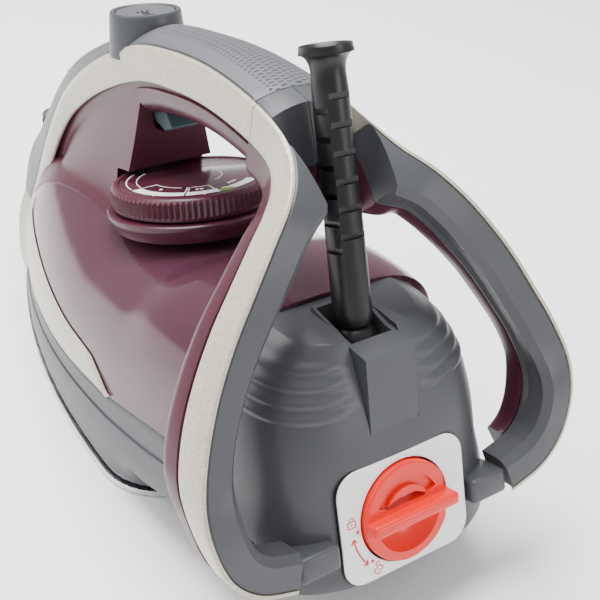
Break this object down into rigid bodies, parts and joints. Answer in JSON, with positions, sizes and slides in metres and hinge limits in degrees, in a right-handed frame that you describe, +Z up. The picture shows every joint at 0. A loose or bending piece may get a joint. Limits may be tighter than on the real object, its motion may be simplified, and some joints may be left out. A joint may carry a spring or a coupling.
{
  "type": "clothes iron",
  "caption": "Steam iron with a C-shaped handle on two heel legs, clear tank, temperature dial, steam selector, filling door and a scale collector in the heel.",
  "frame": {"origin": "on the soleplate's underside, on the middle plane, halfway along the iron", "axes": "+X towards the nose, +Y to the iron's left side, +Z up, away from the soleplate"},
  "size_m": [0.3252, 0.1508, 0.186],
  "materials": {
    "sole_steel": "brushed, polished rim",
    "cast_aluminium": "as cast",
    "bright_steel": "smooth",
    "grey_plastic": "satin moulded",
    "light_grey_plastic": "satin moulded",
    "soft_grip": "soft touch, dimpled",
    "burgundy_plastic": "satin gloss",
    "tank_plastic": "clear tinted, polished",
    "pearl_plastic": "pearl lacquer, fine metallic fleck",
    "black_plastic": "fine grain",
    "black_rubber": "soft",
    "red_plastic": "satin gloss",
    "white_plastic": "smooth",
    "trigger_plastic": "satin moulded",
    "green_mark": "printed dot"
  },
  "bodies": {
    "root": {"soleplate": "sole_steel", "heater_casting": "cast_aluminium", "heating_element": "bright_steel", "chamber_seal": "black_rubber", "chamber_cover": "cast_aluminium", "sole_screws": "bright_steel", "thermostat": "black_plastic", "thermal_fuse": "bright_steel", "skirt": "grey_plastic", "water_tank": "tank_plastic", "tank_baffles": "tank_plastic", "front_pillar": "burgundy_plastic", "handle_belly": "burgundy_plastic", "handle_shell": "light_grey_plastic", "grip_pad": "soft_grip", "left_leg": "grey_plastic", "right_leg": "grey_plastic", "left_liner": "burgundy_plastic", "right_liner": "burgundy_plastic", "left_strip": "pearl_plastic", "right_strip": "pearl_plastic", "left_hook_trim": "pearl_plastic", "right_hook_trim": "pearl_plastic", "heel_cover": "grey_plastic", "cord_outlet": "grey_plastic", "base_plate": "grey_plastic", "heel_screws": "bright_steel", "terminal_block": "white_plastic", "label_plate": "white_plastic", "collector_socket": "grey_plastic", "dial_collar": "burgundy_plastic", "steam_valve": "white_plastic", "steam_tube": "light_grey_plastic", "spray_pump": "white_plastic", "pump_hose": "black_rubber", "spray_nozzle": "light_grey_plastic", "trigger_spring": "bright_steel", "door_pin": "bright_steel"},
    "dial": {"thermostat_dial": "burgundy_plastic", "dial_shaft": "black_plastic", "dial_mark": "green_mark"},
    "selector": {"steam_selector": "grey_plastic", "valve_rod": "bright_steel", "button_spring": "bright_steel"},
    "button": {"spray_button": "light_grey_plastic"},
    "trigger": {"boost_trigger": "trigger_plastic"},
    "door": {"fill_door": "light_grey_plastic"},
    "collector": {"collector_rod": "bright_steel", "collector_seal": "black_rubber"},
    "collector_key": {"collector_knob": "red_plastic"},
    "guard_pivot": {"guard_yoke": "bright_steel"},
    "guard": {"cord_guard": "black_plastic", "guard_ball": "black_plastic"}
  },
  "joints": [
    {"name": "dial_turn", "type": "hinge", "parent": "root", "child": "dial", "pos_m": [-0.0086, 0, 0.104], "axis": [0.2334, 0, 0.9724], "range_deg": [-150, 150]},
    {"name": "selector_turn", "type": "hinge", "parent": "root", "child": "selector", "pos_m": [0.03, 0, 0.1585], "axis": [0.1564, 0, 0.9877], "range_deg": [0, 90]},
    {"name": "button_press", "type": "slide", "parent": "selector", "child": "button", "axis": [-0.1564, 0, -0.9877], "range_m": [0, 0.002], "stiffness_N_per_m": 400, "springref_m": -0.001, "deforming": ["button_spring"]},
    {"name": "trigger_press", "type": "slide", "parent": "root", "child": "trigger", "axis": [0, 0, 1], "range_m": [0, 0.004], "stiffness_N_per_m": 500, "springref_m": -0.001, "deforming": ["trigger_spring"]},
    {"name": "door_open", "type": "hinge", "parent": "root", "child": "door", "pos_m": [0.09301, 0, 0.11235], "axis": [0, 1, 0], "range_deg": [0, 65]},
    {"name": "collector_pull", "type": "slide", "parent": "root", "child": "collector", "axis": [-0.9511, 0, 0.309], "range_m": [0, 0.075]},
    {"name": "collector_turn", "type": "hinge", "parent": "collector", "child": "collector_key", "pos_m": [-0.1513, 0, 0.0453], "axis": [-0.9511, 0, 0.309], "range_deg": [0, 60]},
    {"name": "guard_tilt", "type": "hinge", "parent": "root", "child": "guard_pivot", "pos_m": [-0.117, 0, 0.092], "axis": [0, 1, 0], "range_deg": [-22, 4]},
    {"name": "guard_lean", "type": "hinge", "parent": "guard_pivot", "child": "guard", "pos_m": [-0.117, 0, 0.092], "axis": [0.9537, 0, -0.3007], "range_deg": [-7, 7]}
  ]
}
